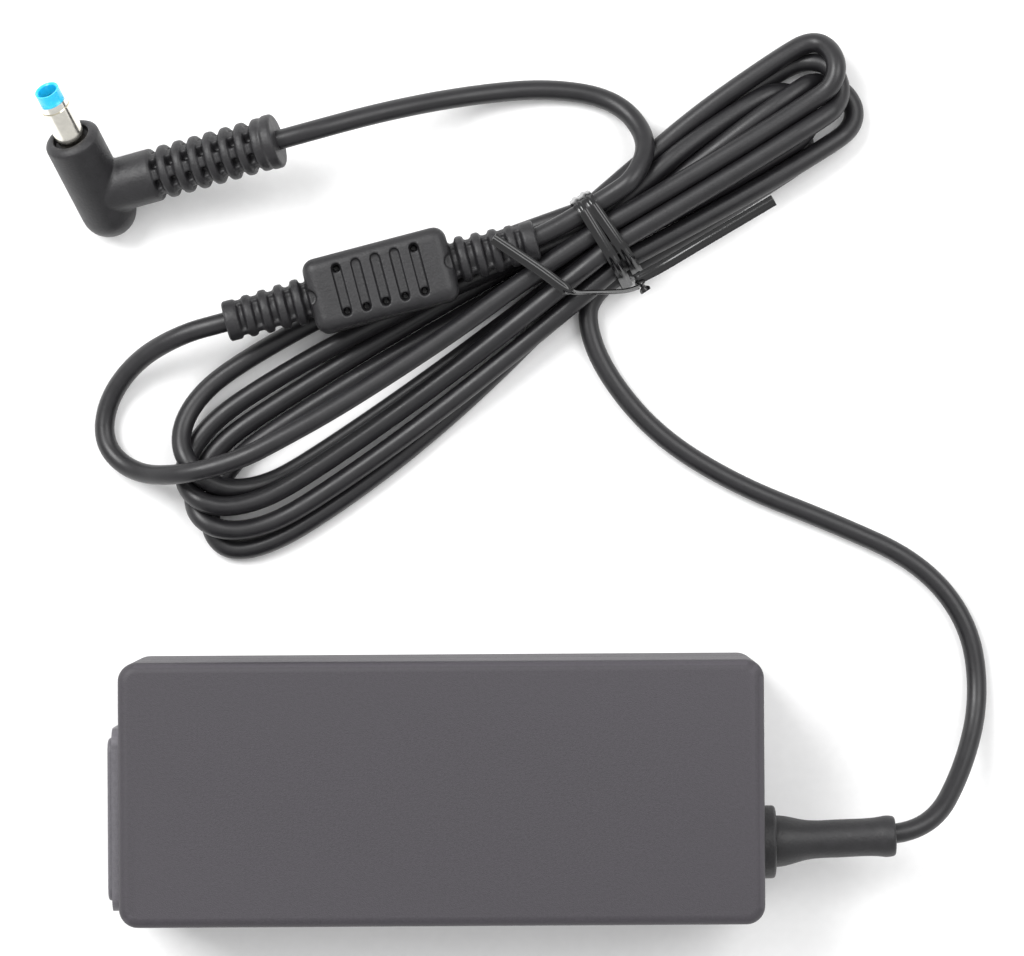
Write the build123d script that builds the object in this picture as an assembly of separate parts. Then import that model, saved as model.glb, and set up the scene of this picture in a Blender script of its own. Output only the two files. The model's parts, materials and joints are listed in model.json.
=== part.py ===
from build123d import *
from math import cos, radians, sin, tan
import os

# Laptop power adapter: a two-shell brick with a mains inlet, a moulded cord boot, one output cord
# wound into a tied hank, a ferrite block and a right-angle DC plug. All sizes are in millimetres.
# +X runs from the mains inlet to the output cord, +Y towards the hank, +Z up. The origin is at the
# bottom, 0.4 mm on the inlet's side of the middle of the housing with its inlet bezel.

# Housing
CASE_LENGTH, CASE_WIDTH, CASE_HEIGHT = 95.0, 39.0, 26.5
CORNER_RADIUS, EDGE_RADIUS = 2.8, 1.5
WALL = 2.0
SEAM_Z = CASE_HEIGHT / 2
SEAM_GROOVE = 0.3
TONGUE_HEIGHT, TONGUE_THICK, TONGUE_GAP = 1.2, 0.8, 0.05
LABEL_LENGTH, LABEL_WIDTH, LABEL_THICK, LABEL_RECESS = 62.0, 28.0, 0.15, 0.2

# Mains inlet, a three-pin cloverleaf socket in a stepped bezel
BEZEL_OUT, BEZEL_STEP = 1.8, 0.7
CASE_X = 1.3
CASE_LEFT, CASE_RIGHT = CASE_X - CASE_LENGTH / 2, CASE_X + CASE_LENGTH / 2
INLET_Y, INLET_Z = -3.8, CASE_HEIGHT / 2
FLANGE_WIDTH, FLANGE_HEIGHT = 27.0, 21.6
RIM_WIDTH, RIM_HEIGHT = 24.0, 19.6
SOCKET_WIDTH, SOCKET_HEIGHT = 23.4, 19.2
LOBE_RADIUS = 5.4
PIN_SPACING, EARTH_RISE = 10.0, 6.0
CAVITY_DEPTH, SOCKET_BACK = 12.0, 1.5
PIN_RADIUS, PIN_RECESS, TAIL_RADIUS = 1.18, 1.8, 0.6
TAIL_X = -32.2

# Circuit board
BOARD_LEFT, BOARD_RIGHT, BOARD_WIDTH = -34.0, 44.0, 33.0
BOARD_BOTTOM, BOARD_THICK = 5.0, 1.6
BOARD_TOP = BOARD_BOTTOM + BOARD_THICK
POST_RADIUS = 2.0
SPREADER_THICK, SPREADER_LENGTH = 1.5, 20.0
SCREW_RADIUS, SCREW_HOLE, SCREW_Z = 1.45, 1.6, BOARD_TOP + 14.5
TRANSFORMER_X = 22.0
PRIMARY_FACE, PRIMARY_SWITCH_X = 14.6, 5.0
SECONDARY_FACE, OUTPUT_RECTIFIER_X = -14.6, 35.2
WIRE_X, WIRE_RADIUS, WIRE_OFFSETS = 42.2, 0.48, (-1.0, 0.0, 1.0)

# Cord boot, a bugle-shaped strain relief
CORD_DIAMETER = 3.0
CORD_RADIUS = CORD_DIAMETER / 2
CORD_Y, CORD_Z = -8.4, CASE_HEIGHT / 2
BOOT_FLANGE_RADIUS, BOOT_FLANGE_THICK = 5.45, 2.2
BOOT_NECK_RADIUS = 3.4
BOOT_END_X, BOOT_TILT = 69.0, 2.2

# Tied hank of cord: the direction of its strands and the middle of the tie
TIE = Vector(26.3, 82.8)
HANK_ANGLE = 32.5
NECK_WIDTH, NECK_HEIGHT, NECK_LENGTH, NECK_RADIUS = 11.8, 8.6, 6.0, 2.2
LEFT_LOBE_HEIGHT, RIGHT_LOBE_HEIGHT = 4.1, 8.0

# Twist tie
TIE_WIDTH, TIE_THICK = 1.7, 0.5

# Ferrite block
FERRITE_RIGHT = Vector(15.9, 82.2, 8.8)
FERRITE_LEFT = Vector(-31.1, 70.1, 9.0)
BLOCK_LENGTH, BLOCK_WIDTH, BLOCK_HEIGHT = 22.2, 11.4, 9.4
FERRITE_BOOT_RADIUS, FERRITE_SLEEVE_RADIUS = 3.1, 2.3
CORE_LENGTH, CORE_RADIUS, CORE_BORE = 18.0, 3.9, 1.8

# Right-angle plug: the corner where its two legs meet, and the directions of the legs
PLUG_CORNER = Vector(-50.3, 90.2, 6.8)
BARREL_AZIMUTH, BARREL_ELEVATION, LEG_AZIMUTH = 114.5, 40.0, 14.2
SHORT_RADIUS, SHORT_FRONT, SHORT_BACK = 4.25, 11.1, 3.9
LONG_RADIUS, LONG_SOLID, LONG_LENGTH = 4.05, 9.6, 29.0
RING_PITCH, RING_WIDTH = 2.5, 1.4
BARREL_RADIUS, BARREL_WALL, BARREL_START, BARREL_FRONT = 2.25, 0.4, 3.0, 18.2
SHANK_RADIUS, COLLAR_DEPTH = 2.05, 0.2
INSULATOR_THICK = 0.2
TIP_LENGTH, TIP_BORE, PLUG_PIN_RADIUS = 1.9, 1.45, 0.3

# Lead from the housing to the hank: out of the boot, down to the table and round in a long bend
BRICK_LEAD = [
    (45.0, CORD_Y, CORD_Z),
    (52.5, CORD_Y, CORD_Z),
    (64.0, -7.95, CORD_Z),
    (74.6, -6.6, 12.2),
    (80.6, 1.8, 6.2),
    (83.9, 12.2, CORD_RADIUS),
    (82.3, 23.8, CORD_RADIUS),
    (74.0, 33.2, CORD_RADIUS),
    (60.4, 39.4, CORD_RADIUS),
    (46.4, 44.9, CORD_RADIUS),
    (34.0, 52.6, CORD_RADIUS),
    (25.9, 62.6, CORD_RADIUS),
    (23.5, 71.2, CORD_RADIUS),
    (24.2, 76.6, CORD_RADIUS),
]

# Outer loop of the hank, from the ferrite block's left end down and back on top of the other turns
OUTER_LOOP = [
    (-31.1, 70.1, 9.0),
    (-37.9, 68.35, 8.0),
    (-45.0, 64.6, 4.2),
    (-49.8, 58.4, CORD_RADIUS),
    (-50.4, 51.6, CORD_RADIUS),
    (-45.4, 47.2, 1.9),
    (-37.6, 47.2, 4.6),
    (-29.0, 49.2, 6.0),
]

# Lead from the plug to the hank; its first point is inside the plug's strain relief
PLUG_LEAD_BEND = [
    (-6.5, 101.8, 9.4),
    (6.0, 104.6, 3.4),
    (18.2, 105.8, CORD_RADIUS),
    (28.4, 103.9, CORD_RADIUS),
    (33.2, 97.4, 3.0),
    (30.8, 91.4, 6.4),
    (27.4, 89.0, 7.2),
]


def axis_plane(origin, direction):
    """A plane whose normal runs along direction."""
    return Plane(origin=origin, z_dir=direction)


def rod(start, end, radius):
    """A round bar between two points."""
    along = Vector(*end) - Vector(*start)
    face = axis_plane(start, along) * Circle(radius)
    return extrude(face, amount=along.length, dir=along.normalized())


def arc_radii(points):
    """The largest tangent arcs that the runs of a route leave room for, one for each corner."""
    route = [Vector(*p) for p in points]
    radii = []
    for before, here, after in zip(route, route[1:], route[2:]):
        first, second = here - before, after - here
        half_turn = radians(first.get_angle(second)) / 2
        radii.append(0.45 * min(first.length, second.length) / tan(half_turn))
    return radii


def cord_tube(points, name):
    """A plain round cord along a route of straight runs and tangent arcs."""
    radii = arc_radii(points)
    path = FilletPolyline(*points, radius=radii)
    section = axis_plane(path @ 0, path % 0) * Circle(CORD_RADIUS)
    tube = sweep(section, path=path)
    expected = section.area * path.length
    print(name, "length", round(path.length, 1), "radii", [round(r, 1) for r in radii])
    print(name, "volume over section times length", round(tube.volume / expected, 4))
    return tube


# ---- Housing ----------------------------------------------------------------------------------

def rounded_block(length, width, height, corner, edge):
    """A block with rounded upright corners and rounded top and bottom edges."""
    block = Box(length, width, height)
    block = fillet(block.edges().filter_by(Axis.Z), corner)
    ends = block.faces().sort_by(Axis.Z)
    return fillet(ends[0].edges() + ends[-1].edges(), edge)


def housing_skin():
    """The whole hollow housing before it is parted."""
    outer = rounded_block(CASE_LENGTH, CASE_WIDTH, CASE_HEIGHT, CORNER_RADIUS, EDGE_RADIUS)
    inner = Box(CASE_LENGTH - 2 * WALL, CASE_WIDTH - 2 * WALL, CASE_HEIGHT - 2 * WALL)
    inner = fillet(inner.edges().filter_by(Axis.Z), 1.0)
    return Pos(CASE_X, 0, CASE_HEIGHT / 2) * (outer - inner)


def seam_band(inset_outer, inset_inner, low, high):
    """A rectangular ring that follows the housing wall between two heights."""
    height = high - low
    outer = Box(CASE_LENGTH - 2 * inset_outer, CASE_WIDTH - 2 * inset_outer, height)
    outer = fillet(outer.edges().filter_by(Axis.Z), max(CORNER_RADIUS - inset_outer, 0.8))
    inner = Box(CASE_LENGTH - 2 * inset_inner, CASE_WIDTH - 2 * inset_inner, height)
    inner = fillet(inner.edges().filter_by(Axis.Z), max(CORNER_RADIUS - inset_inner, 0.8))
    return Pos(CASE_X, 0, (low + high) / 2) * (outer - inner)


def wall_openings():
    """The inlet's window in the left wall and the boot's hole in the right wall."""
    window = Box(2 * WALL + 2, SOCKET_WIDTH, SOCKET_HEIGHT)
    window = Pos(CASE_LEFT + WALL - 1, INLET_Y, INLET_Z) * window
    hole = Pos(CASE_RIGHT - WALL / 2, CORD_Y, CORD_Z) * Rot(0, 90, 0) * Cylinder(BOOT_NECK_RADIUS, 2 * WALL)
    return window + hole


def half_space(low, high):
    """A slab that holds the part of the housing between two heights."""
    return Pos(CASE_X, 0, (low + high) / 2) * Box(CASE_LENGTH + 20, CASE_WIDTH + 20, high - low)


def lower_housing():
    """The tray: it carries the board on four posts and the tongue of the welded joint."""
    shell = housing_skin() & half_space(-1, SEAM_Z)
    shell -= seam_band(-1, SEAM_GROOVE, SEAM_Z - SEAM_GROOVE, SEAM_Z)
    shell += seam_band(WALL - TONGUE_THICK, WALL, SEAM_Z, SEAM_Z + TONGUE_HEIGHT)
    for x in (BOARD_LEFT + 3.5, BOARD_RIGHT - 3.5):
        for y in (-BOARD_WIDTH / 2 + 3, BOARD_WIDTH / 2 - 3):
            height = BOARD_BOTTOM - WALL
            shell += Pos(x, y, WALL + height / 2) * Cylinder(POST_RADIUS, height)
    recess = Pos(CASE_X, 0, LABEL_RECESS / 2) * Box(LABEL_LENGTH + 0.4, LABEL_WIDTH + 0.4, LABEL_RECESS)
    return shell - recess - wall_openings()


def upper_housing():
    """The lid, rebated inside for the tongue."""
    shell = housing_skin() & half_space(SEAM_Z, CASE_HEIGHT + 1)
    inset = WALL - TONGUE_THICK - TONGUE_GAP
    shell -= seam_band(inset, WALL + 1, SEAM_Z - 1, SEAM_Z + TONGUE_HEIGHT + TONGUE_GAP)
    return shell - wall_openings()


def rating_label():
    """The blank plate in its recess on the underside."""
    plate = Box(LABEL_LENGTH, LABEL_WIDTH, LABEL_THICK)
    plate = fillet(plate.edges().filter_by(Axis.Z), 1.5)
    return Pos(CASE_X, 0, LABEL_RECESS - LABEL_THICK / 2) * plate


# ---- Mains inlet --------------------------------------------------------------------------------

def pin_places():
    """Across and up from the socket's middle, for each pin."""
    low, high = -EARTH_RISE / 2, EARTH_RISE / 2
    half = PIN_SPACING / 2
    return {"live": (-half, low), "neutral": (half, low), "earth": (0, high)}


def cloverleaf(places):
    """The plug-shaped outline: a lobe round each pin, and the space between them."""
    outline = Polyline(*places, close=True)
    shape = make_face(outline)
    for place in places:
        shape += Pos(*place) * Circle(LOBE_RADIUS)
    base = Rectangle(PIN_SPACING, LOBE_RADIUS)
    return shape + Pos(0, -EARTH_RISE / 2 - LOBE_RADIUS / 2) * base


def inlet_plane(x):
    """The plane across the socket at x, seen from its mouth: its own X runs along -Y."""
    return Plane(origin=(x, INLET_Y, INLET_Z), x_dir=(0, -1, 0), z_dir=(-1, 0, 0))


def rounded_plate(x, width, height, thick, radius):
    """A rounded rectangle standing across X, from x towards -X."""
    return extrude(inlet_plane(x) * RectangleRounded(width, height, radius), amount=thick)


def inlet_socket():
    """Stepped bezel, socket body and cloverleaf cavity with three pin holes in its floor."""
    face = CASE_LEFT - BEZEL_OUT
    floor = face + CAVITY_DEPTH
    back = floor + SOCKET_BACK
    body = rounded_plate(back, SOCKET_WIDTH, SOCKET_HEIGHT, back - CASE_LEFT, 0.8)
    body += rounded_plate(CASE_LEFT, FLANGE_WIDTH, FLANGE_HEIGHT, BEZEL_OUT - BEZEL_STEP, 2.5)
    body += rounded_plate(CASE_LEFT, RIM_WIDTH, RIM_HEIGHT, BEZEL_OUT, 2.0)
    mouth = body.faces().sort_by(Axis.X)[0]
    body = fillet(mouth.edges(), 0.4)
    leaf = cloverleaf(list(pin_places().values()))
    body -= extrude(inlet_plane(floor) * leaf, amount=CAVITY_DEPTH + 1)
    for place in pin_places().values():
        body -= extrude(inlet_plane(back) * Pos(*place) * Circle(PIN_RADIUS), amount=SOCKET_BACK)
    return body


def inlet_pin(place):
    """A round contact with a domed nose and a solder tail down through the board."""
    across, up = place
    nose_x = CASE_LEFT - BEZEL_OUT + PIN_RECESS
    y, z = INLET_Y - across, INLET_Z + up
    pin = rod((nose_x, y, z), (TAIL_X + PIN_RADIUS, y, z), PIN_RADIUS)
    pin = fillet(pin.edges().sort_by(Axis.X)[0], PIN_RADIUS * 0.8)
    return pin + rod((TAIL_X, y, z), (TAIL_X, y, BOARD_BOTTOM - 1), TAIL_RADIUS)


# ---- Circuit board and what it carries ------------------------------------------------------------

def on_board(x, y, height, lift=0.0):
    """The place of a piece of that height standing on the board."""
    return Pos(x, y, BOARD_TOP + lift + height / 2)


def circuit_board():
    """The board, drilled for the three pin tails and the three output wires."""
    length = BOARD_RIGHT - BOARD_LEFT
    board = Box(length, BOARD_WIDTH, BOARD_THICK)
    board = Pos((BOARD_LEFT + BOARD_RIGHT) / 2, 0, BOARD_BOTTOM + BOARD_THICK / 2) * board
    for across, _ in pin_places().values():
        board -= Pos(TAIL_X, INLET_Y - across, BOARD_BOTTOM) * Cylinder(TAIL_RADIUS, 4 * BOARD_THICK)
    for offset in WIRE_OFFSETS:
        board -= Pos(WIRE_X, CORD_Y + offset, BOARD_BOTTOM) * Cylinder(WIRE_RADIUS, 4 * BOARD_THICK)
    return board


def insulating_sheet():
    """A sheet on the tray's floor, between the board's posts."""
    return Pos(CASE_X + 2, 0, WALL + 0.2) * Box(72, BOARD_WIDTH - 11, 0.4)


def fuse():
    return on_board(-27, -12, 8) * Cylinder(4.0, 8)


def varistor():
    disc = Rot(0, 90, 0) * Cylinder(5.0, 4)
    return on_board(-26.5, 11.4, 10, 0.6) * disc


def x_capacitor():
    block = Box(6, 12, 11)
    block = fillet(block.edges(), 0.5)
    return on_board(-22.5, -1.5, 11, 0.2) * block


def choke_place():
    return on_board(-13.5, 5.5, 15.6, 0.8)


def choke_core():
    """A ring standing on edge."""
    ring = Cylinder(7.0, 6) - Cylinder(3.6, 6)
    return choke_place() * Rot(0, 90, 0) * ring


def choke_windings():
    """Two wound sectors wrapped round the ring."""
    sleeve = Cylinder(7.8, 7.6) - Cylinder(2.8, 7.6) - (Cylinder(7.0, 6) - Cylinder(3.6, 6))
    keep = Box(20, 9.5, 10)
    halves = [sleeve & (Pos(side * 11.5, 0, 0) * keep) for side in (-1, 1)]
    return Compound([choke_place() * Rot(0, 90, 0) * half for half in halves])


def bridge_rectifier():
    block = Box(8.4, 6.4, 3.3)
    block = chamfer(block.edges().group_by(Axis.Z)[-1], 0.5)
    return on_board(-15, -11.5, 3.3, 0.3) * block


def bulk_capacitor():
    """The large can lying on the board, with its crimped groove."""
    can = Cylinder(7.8, 20)
    can = fillet(can.edges(), 0.8)
    groove = Pos(0, 0, 7) * (Cylinder(9, 1) - Cylinder(7.3, 1))
    return on_board(3.5, -8.4, 15.6, 0.2) * Rot(0, 90, 0) * (can - groove)


def power_switch(face_y, x, side):
    """A leaded transistor with its mounting hole, standing against a plate at face_y."""
    body = Box(10, 4.5, 15)
    body -= Pos(0, 0, 4.5) * Rot(90, 0, 0) * Cylinder(SCREW_HOLE, 6)
    for step in (-2.54, 0, 2.54):
        body += Pos(step, 0, -8.75) * Box(0.8, 0.6, 2.5)
    return Pos(x, face_y + side * 2.25, SCREW_Z - 4.5) * body


def heat_spreader(length, x, y, screw_x):
    """A plate on two feet, with the tapped hole for its screw."""
    plate = Box(length, SPREADER_THICK, 14.6)
    plate = Pos(x, y, BOARD_TOP + 9.2) * plate
    for foot_x in (x - length / 2 + 2, x + length / 2 - 2):
        plate += Pos(foot_x, y, BOARD_TOP + 0.95) * Box(2.5, SPREADER_THICK, 1.9)
    return plate - rod((screw_x, y - 3, SCREW_Z), (screw_x, y + 3, SCREW_Z), SCREW_RADIUS)


def spreader_screw(x, face_y, side):
    """A pan-head screw through the switch and into its plate."""
    length = 4.5 + SPREADER_THICK
    head_y = face_y + side * 4.5
    tip_y = head_y - side * length
    shank = rod((x, head_y, SCREW_Z), (x, tip_y, SCREW_Z), SCREW_RADIUS)
    return shank + rod((x, head_y, SCREW_Z), (x, head_y + side * 1.6, SCREW_Z), 2.6)


def spreader_for(device):
    face_y, x, side = device
    return heat_spreader(SPREADER_LENGTH, x - 1, face_y - side * SPREADER_THICK / 2, x)


def screw_for(device):
    face_y, x, side = device
    return spreader_screw(x, face_y, side)


def transformer_core():
    """Two E-shaped halves that meet at mid-height."""
    plate = Box(15, 24, 3.6)
    half = Pos(0, 0, 1.8) * plate
    for side in (-1, 1):
        half += Pos(0, side * 10.25, 5.3) * Box(15, 3.5, 3.4)
    half += Pos(0, 0, 5.3) * Cylinder(3.9, 3.4)
    place = Pos(TRANSFORMER_X, 0, BOARD_TOP + 0.4)
    upper = Pos(0, 0, 14) * Rot(180, 0, 0) * half
    return Compound([place * half, place * upper])


def transformer_bobbin():
    """The spool round the middle leg."""
    spool = Cylinder(4.7, 6.6) - Cylinder(4.0, 6.6)
    for side in (-1, 1):
        spool += Pos(0, 0, side * 2.9) * (Cylinder(7.9, 0.8) - Cylinder(4.0, 0.8))
    return Pos(TRANSFORMER_X, 0, BOARD_TOP + 7.4) * spool


def transformer_winding():
    coil = Cylinder(7.4, 5.0) - Cylinder(4.7, 5.0)
    return Pos(TRANSFORMER_X, 0, BOARD_TOP + 7.4) * coil


def y_capacitor():
    disc = Rot(90, 0, 0) * Cylinder(3.6, 2.6)
    return on_board(32.8, 14.5, 7.2, 0.6) * disc


def optocoupler():
    block = Box(4.6, 6.4, 3.4)
    block = chamfer(block.edges().group_by(Axis.Z)[-1], 0.4)
    return on_board(34.0, 7.6, 3.4, 0.3) * block


def output_capacitors():
    """Two upright cans with crimped tops."""
    can = Cylinder(3.6, 13)
    can = fillet(can.edges().sort_by(Axis.Z)[-1], 0.5)
    places = [(33.8, 0.2), (40.4, 11.4)]
    return Compound([on_board(x, y, 13, 0.1) * can for x, y in places])


def output_choke():
    """A wound drum."""
    drum = Cylinder(2.9, 8)
    drum -= Cylinder(4, 5.5) - Cylinder(2.5, 5.5)
    return on_board(40.6, -1.6, 8, 0.1) * drum


def control_chip():
    """The controller under the board."""
    chip = Box(4.9, 3.9, 1.4)
    return Pos(4, 3, BOARD_BOTTOM - 0.7) * chip


def output_wire(offset):
    """One insulated wire from the cord's end down into the board."""
    y = CORD_Y + offset
    bend = 1.2
    route = [(BRICK_LEAD[0][0], y, CORD_Z), (WIRE_X, y, CORD_Z), (WIRE_X, y, BOARD_BOTTOM - 1)]
    path = FilletPolyline(*route, radius=bend)
    return sweep(axis_plane(path @ 0, path % 0) * Circle(WIRE_RADIUS), path=path)


# ---- Cord boot ------------------------------------------------------------------------------------

def cord_boot(cord):
    """Flanges each side of the wall, then a bugle-shaped sleeve that leans a little with the cord."""
    wall_face = CASE_RIGHT
    start = Pos(wall_face, CORD_Y, CORD_Z) * Rot(0, 90, 0)
    boot = start * Pos(0, 0, BOOT_FLANGE_THICK / 2) * Cylinder(BOOT_FLANGE_RADIUS, BOOT_FLANGE_THICK)
    boot = fillet(boot.edges().sort_by(Axis.X)[-1], 0.5)
    boot += start * Pos(0, 0, -WALL / 2) * Cylinder(BOOT_NECK_RADIUS, WALL)
    boot += start * Pos(0, 0, -WALL - 0.8) * Cylinder(4.6, 1.6)
    length = BOOT_END_X - wall_face
    edge = [(3.9, 0.5), (3.85, 2.6), (3.05, 6.5), (2.85, 11.5), (3.0, length - 2.2), (2.9, length)]
    side = Spline(edge, tangents=[(-0.2, 1), (-0.3, 1)])
    profile = make_face(side + Polyline(edge[-1], (0, length), (0, 0.5), edge[0]))
    bugle = revolve(Plane.XZ * profile, axis=Axis.Z)
    bugle = fillet(bugle.edges().sort_by(Axis.Z)[-1], 0.5)
    boot += Pos(wall_face, CORD_Y, CORD_Z) * Rot(0, 0, BOOT_TILT) * Rot(0, 90, 0) * bugle
    return boot - cord


# ---- Hank and twist tie -----------------------------------------------------------------------------

def along_hank(u, v, z=0.0):
    """A place u along the strands and v across them from the middle of the tie."""
    return Pos(TIE.X, TIE.Y, z) * Rot(0, 0, HANK_ANGLE) * Pos(u, v, 0)


def lobe(points, height):
    """A flat mass of turns: a smooth outline closed across the neck."""
    side = Spline(*points)
    outline = make_face(side + Line(points[-1], points[0]))
    block = extrude(outline, amount=height)
    return along_hank(0, 0) * fillet(block.edges().group_by(Axis.Z)[-1], 0.8)


def neck_section(grow):
    """The strands' section where they are tied, seen along them."""
    width, height = NECK_WIDTH + 2 * grow, NECK_HEIGHT + 2 * grow
    return RectangleRounded(width, height, NECK_RADIUS + grow)


def neck_piece(start, length, grow):
    """A length of that section, raised on the thickness of the tie."""
    section = Plane.YZ * neck_section(grow)
    return along_hank(start, 0, TIE_THICK + NECK_HEIGHT / 2) * extrude(section, amount=length)


def cord_hank():
    """The outer shape of the tied turns: a wide flat left lobe, the neck and a narrow right lobe."""
    join, half = NECK_LENGTH / 2, NECK_WIDTH / 2 - 0.5
    left = [(-join, half), (-30, 9.4), (-50, 14.6), (-60, 15.4), (-70, 11.8), (-75.8, 2),
            (-75.6, -7), (-70, -12.4), (-60, -13.2), (-30, -9.4), (-join, -half)]
    right = [(join, -half), (20, -6.9), (33, -8.0), (41.5, -6.2), (45, 0),
             (44.6, 6.4), (40, 9.4), (32, 9.8), (18, 8.6), (join, half)]
    hank = lobe(left, LEFT_LOBE_HEIGHT) + lobe(right, RIGHT_LOBE_HEIGHT)
    hank += neck_piece(-join, NECK_LENGTH, 0)
    ramp = Polyline((-join, 1), (-join, 8.4), (-9, 5.7), (-17, 3.6), (-17, 1), close=True)
    slope = extrude(Plane.XZ * make_face(ramp), amount=half - 0.4, both=True)
    return hank + along_hank(0, 0) * slope


def flat_strip(start, end, across):
    """A straight length of the tie's ribbon between two points, its width along across."""
    start, end = Vector(*start), Vector(*end)
    along = end - start
    face = Plane(origin=start, z_dir=along, x_dir=across)
    return extrude(face * Rectangle(TIE_WIDTH, TIE_THICK), amount=along.length, dir=along.normalized())


def twist_tie():
    """Two turns round the neck, the twisted knot and two free tails."""
    tie = None
    for u in (-TIE_WIDTH / 2 - 0.02, TIE_WIDTH / 2 + 0.02):
        band = neck_piece(u - TIE_WIDTH / 2, TIE_WIDTH, TIE_THICK)
        band -= neck_piece(u - TIE_WIDTH, 2 * TIE_WIDTH, 0)
        tie = band if tie is None else tie + band
    tie += neck_piece(-0.2, 0.4, TIE_THICK) - neck_piece(-1, 2, 0)
    tie += along_hank(0.8, -NECK_WIDTH / 2 - 1.3, 7.6) * Box(2.4, 2.4, 3.4)
    tie += flat_strip((30.9, 76.0, 8.6), (20.1, 74.3, 8.6), (0, 0, 1))
    tie += flat_strip((20.9, 74.37, 8.6), (9.3, 82.0, 13.6), (0.58, 0.81, 0))
    return tie + flat_strip((30.2, 76.2, 8.6), (51.5, 88.5, 8.6), (-0.5, 0.87, 0))


# ---- Ferrite block ----------------------------------------------------------------------------------

def ferrite_plane():
    """Along the block's axis from left to right, its own Z upwards."""
    along = FERRITE_RIGHT - FERRITE_LEFT
    middle = (FERRITE_RIGHT + FERRITE_LEFT) * 0.5
    level = Vector(0, 0, 1).cross(along)
    return Plane(origin=middle, x_dir=along, z_dir=along.cross(level))


def on_axis(radius, length, x):
    """A round piece on the local X axis, with its middle at x."""
    return Pos(x, 0, 0) * Rot(0, 90, 0) * Cylinder(radius, length)


def ferrite_overmould():
    """The grooved block with a ringed boot at each end."""
    span = (FERRITE_RIGHT - FERRITE_LEFT).length
    block = Box(BLOCK_LENGTH, BLOCK_WIDTH, BLOCK_HEIGHT)
    block = fillet(block.edges().filter_by(Axis.X), 3.4)
    block = fillet(block.edges().group_by(Axis.X)[0] + block.edges().group_by(Axis.X)[-1], 1.2)
    for index in range(-2, 3):
        slot = Pos(index * 3.0, 0, BLOCK_HEIGHT / 2 - 0.4) * Box(1.5, 8.1, 0.8)
        block -= fillet(slot.edges().filter_by(Axis.Z), 0.7)
    block += on_axis(FERRITE_SLEEVE_RADIUS, span, 0)
    boot = (span - BLOCK_LENGTH) / 2
    for side in (-1, 1):
        block += on_axis(FERRITE_BOOT_RADIUS, 2.2, side * (span / 2 - 1.1))
        for index in range(4):
            x = span / 2 - 3.8 - index * 2.55
            block += on_axis(FERRITE_BOOT_RADIUS + 0.12 * (index + 1), 1.4, side * x)
    block -= on_axis(CORE_RADIUS, CORE_LENGTH, 0)
    return ferrite_plane() * (block - on_axis(CORD_RADIUS, span + 1, 0))


def ferrite_core():
    """The ring of ferrite inside the block."""
    return ferrite_plane() * (on_axis(CORE_RADIUS, CORE_LENGTH, 0) - on_axis(CORE_BORE, CORE_LENGTH, 0))


def ferrite_run():
    """The straight length of cord through the block and on into the tie."""
    along = (FERRITE_RIGHT - FERRITE_LEFT).normalized()
    return rod(FERRITE_LEFT, FERRITE_RIGHT + along * 5.5, CORD_RADIUS)


# ---- Right-angle plug -------------------------------------------------------------------------------

def direction(azimuth, elevation):
    a, e = radians(azimuth), radians(elevation)
    return Vector(cos(e) * cos(a), cos(e) * sin(a), sin(e))


def barrel_direction():
    return direction(BARREL_AZIMUTH, BARREL_ELEVATION)


def leg_direction():
    """Square to the barrel: it rises just enough at its own azimuth."""
    barrel = barrel_direction()
    level = direction(LEG_AZIMUTH, 0)
    rise = -barrel.dot(level) / barrel.Z
    return Vector(level.X, level.Y, rise).normalized()


def barrel_plane():
    """At the plug's corner, its own Z along the barrel and X along the long leg."""
    return Plane(origin=PLUG_CORNER, x_dir=leg_direction(), z_dir=barrel_direction())


def sleeve(outer, inner, start, end):
    """A tube on the local Z axis between two heights."""
    tube = Cylinder(outer, end - start) - Cylinder(inner, end - start)
    return Pos(0, 0, (start + end) / 2) * tube


def plug_overmould(lead):
    """Short leg with a domed back, long leg, and a strain relief of rings joined by ribs."""
    short = Cylinder(SHORT_RADIUS, SHORT_FRONT + SHORT_BACK)
    short = Pos(0, 0, (SHORT_FRONT - SHORT_BACK) / 2) * short
    short = chamfer(short.edges().sort_by(Axis.Z)[-1], 0.9)
    short += Pos(0, 0, -SHORT_BACK) * Sphere(SHORT_RADIUS)
    long = on_axis(LONG_RADIUS, LONG_SOLID, LONG_SOLID / 2)
    long += on_axis(2.5, LONG_LENGTH, LONG_LENGTH / 2)
    for index in range(7):
        x = LONG_SOLID + 1.1 + RING_WIDTH / 2 + index * RING_PITCH
        long += on_axis(LONG_RADIUS, RING_WIDTH, x)
    long += on_axis(LONG_RADIUS, 1.8, LONG_LENGTH - 0.9)
    for angle in (45, 135, 225, 315):
        rib = Pos(0, LONG_RADIUS / 2 + 0.9, 0) * Box(LONG_LENGTH - LONG_SOLID + 1, 1.9, 1.6)
        long += Rot(angle, 0, 0) * Pos((LONG_SOLID + LONG_LENGTH - 1) / 2, 0, 0) * rib
    mould = short + long
    mould -= sleeve(SHANK_RADIUS, 0, BARREL_START, SHORT_FRONT + 1)
    return barrel_plane() * mould - lead


def plug_barrel():
    """The plated outer contact: a narrower shank inside the mould, and a collar at its front."""
    bore = BARREL_RADIUS - BARREL_WALL
    tube = sleeve(SHANK_RADIUS, bore, BARREL_START, SHORT_FRONT)
    tube += sleeve(BARREL_RADIUS, bore, SHORT_FRONT, BARREL_FRONT)
    groove = sleeve(BARREL_RADIUS + 1, BARREL_RADIUS - COLLAR_DEPTH, BARREL_FRONT - 1.3, BARREL_FRONT - 1.0)
    return barrel_plane() * (tube - groove)


def plug_insulator():
    """The sleeve between the outer and the inner contact."""
    outer = BARREL_RADIUS - BARREL_WALL
    return barrel_plane() * sleeve(outer, outer - INSULATOR_THICK, BARREL_START, BARREL_FRONT)


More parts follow.
